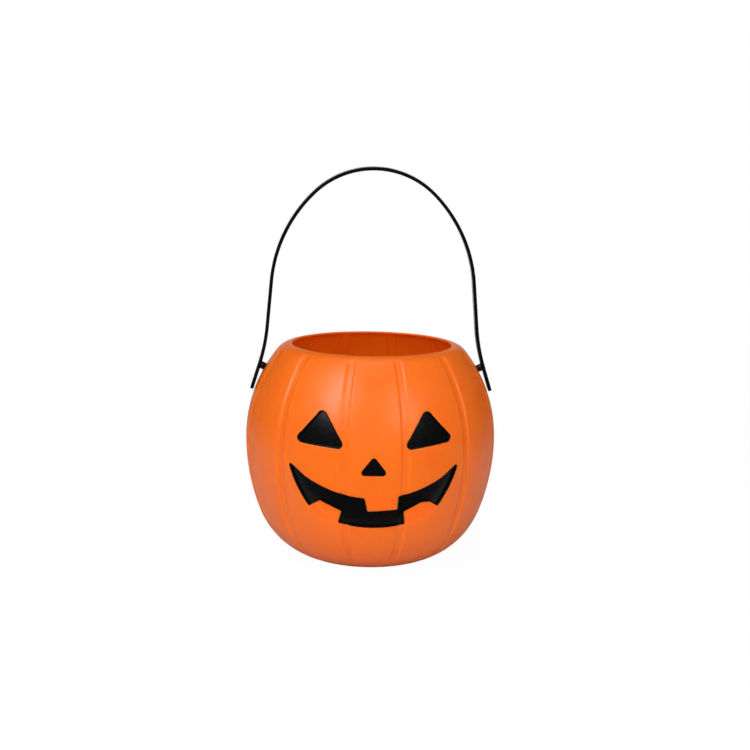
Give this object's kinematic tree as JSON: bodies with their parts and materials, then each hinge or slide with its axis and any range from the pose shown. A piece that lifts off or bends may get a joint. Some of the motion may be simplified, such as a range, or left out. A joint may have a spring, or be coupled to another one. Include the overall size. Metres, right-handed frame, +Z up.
{
  "type": "pumpkin candy pail",
  "caption": "Round ribbed pail shaped like a pumpkin, with a recessed and painted jack-o'-lantern face and a strap handle that swings on moulded studs, for collecting sweets.",
  "frame": {"origin": "middle of the foot, on the surface that the pail stands on", "axes": "+Z up, the face looks along -Y, +X to the viewer's right"},
  "size_m": [0.21, 0.21, 0.3284],
  "materials": {
    "orange_polyethylene": "satin",
    "black_polyethylene": "gloss",
    "black_paint": "gloss"
  },
  "bodies": {
    "pail": {"pail_shell": "orange_polyethylene", "left_eye_paint": "black_paint", "right_eye_paint": "black_paint", "nose_paint": "black_paint", "mouth_paint": "black_paint"},
    "handle": {"handle_strap": "black_polyethylene"}
  },
  "joints": [
    {"name": "handle_swing", "type": "hinge", "parent": "pail", "child": "handle", "pos_m": [0, 0, 0.1595], "axis": [1, 0, 0], "range_deg": [-70, 70]}
  ]
}
